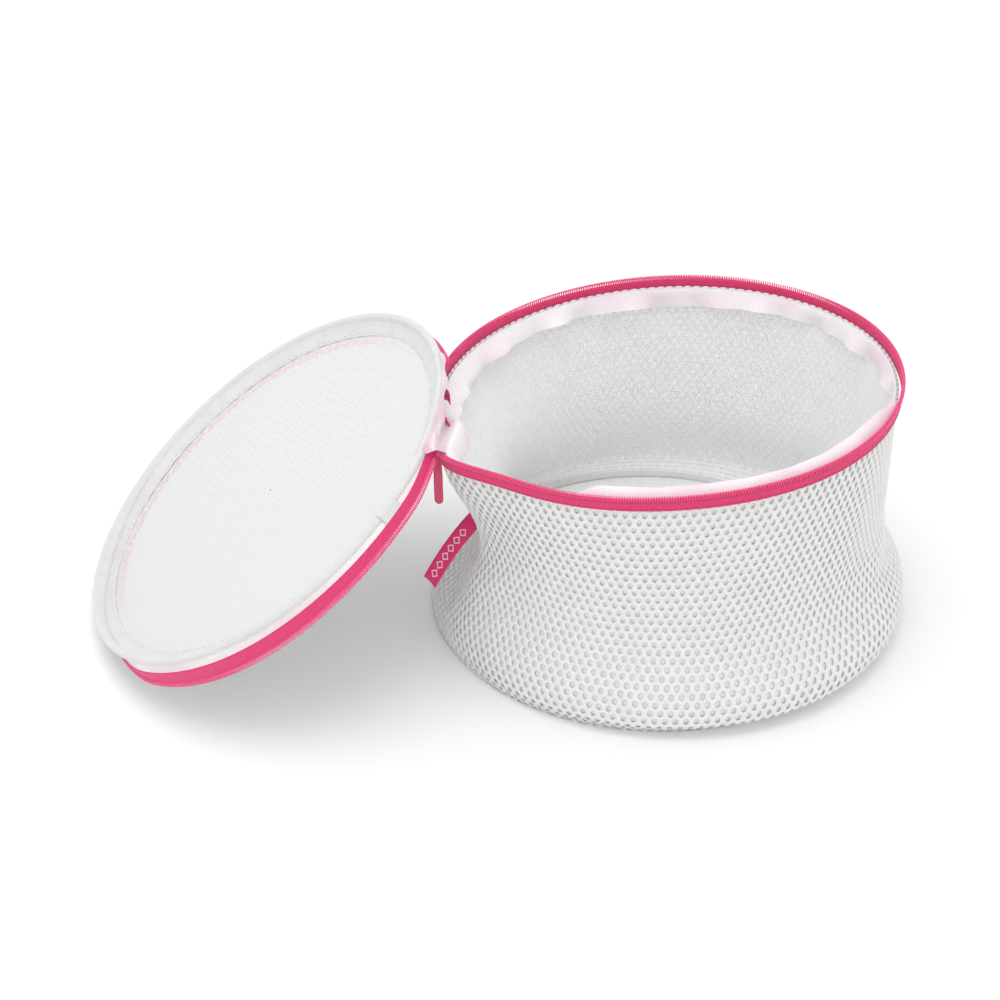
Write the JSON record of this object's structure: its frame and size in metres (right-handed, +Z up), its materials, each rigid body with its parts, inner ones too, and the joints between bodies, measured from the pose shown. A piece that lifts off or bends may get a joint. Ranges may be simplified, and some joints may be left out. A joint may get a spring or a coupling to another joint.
{
  "type": "mesh laundry bag",
  "caption": "Round mesh wash bag with a flat base, soft wall, ring zip and a wire-hooped mesh lid that turns back on a fabric hinge.",
  "frame": {"origin": "centre of the round base's underside, on the surface that the bag stands on", "axes": "+Z up, +X from the hinge side across the base, +Y away from the front"},
  "size_m": [0.4113, 0.2392, 0.1418],
  "materials": {
    "white_mesh": "open polyester spacer mesh, matt",
    "white_binding": "woven polyester binding, matt",
    "sheer_facing": "sheer white knitted strip, faintly pink",
    "pink_tape": "woven polyester zip tape, matt",
    "pink_coil": "nylon coil teeth, satin",
    "pink_enamel": "enamelled zinc, satin",
    "white_thread": "twisted polyester sewing thread",
    "hoop_wire": "drawn spring wire",
    "stop_metal": "crimped sheet metal"
  },
  "bodies": {
    "root": {"base_mesh": "white_mesh", "base_binding": "white_binding", "wall_mesh": "white_mesh", "rim_facing": "sheer_facing", "hinge_tab": "sheer_facing", "side_label": "pink_tape", "rim_tape": "pink_tape", "rim_coil": "pink_coil", "rim_stitching": "white_thread", "end_stop_front": "stop_metal", "end_stop_back": "stop_metal"},
    "lid": {"lid_mesh": "white_mesh", "lid_casing": "white_binding", "lid_hoop": "hoop_wire", "hoop_joiner": "stop_metal", "lid_stitching": "white_thread", "lid_join_tab": "white_binding", "lid_facing": "sheer_facing", "lid_tape": "pink_tape"},
    "lid_zip": {"lid_coil": "pink_coil"},
    "slider": {"slider_front": "pink_enamel", "slider_back": "pink_enamel", "slider_bridge": "pink_enamel"},
    "pull": {"pull_tab": "pink_enamel"}
  },
  "joints": [
    {"name": "lid_open", "type": "hinge", "parent": "root", "child": "lid", "pos_m": [-0.1048, -0.0045, 0.1362], "axis": [0, 1, 0], "range_deg": [0, 212.2], "deforming": ["hinge_tab", "lid_tape", "lid_facing"]},
    {"name": "lid_skirt_turn", "type": "slide", "parent": "lid", "child": "lid_zip", "axis": [-0.5896, -0.0593, 0.8055], "range_m": [0, 0.0157]},
    {"name": "slider_run", "type": "hinge", "parent": "root", "child": "slider", "pos_m": [0.0037, -0.0045, 0.1311], "axis": [-0.0696, 0.0593, 0.9958], "range_deg": [0, 336]},
    {"name": "pull_swing", "type": "hinge", "parent": "slider", "child": "pull", "pos_m": [-0.10889, -0.03256, 0.1249], "axis": [-0.2373, 0.9686, -0.0743], "range_deg": [0, 45]}
  ],
  "couplings": [
    {"joint": "lid_skirt_turn", "follows": "lid_open", "m_per_rad": 0.004239}
  ]
}
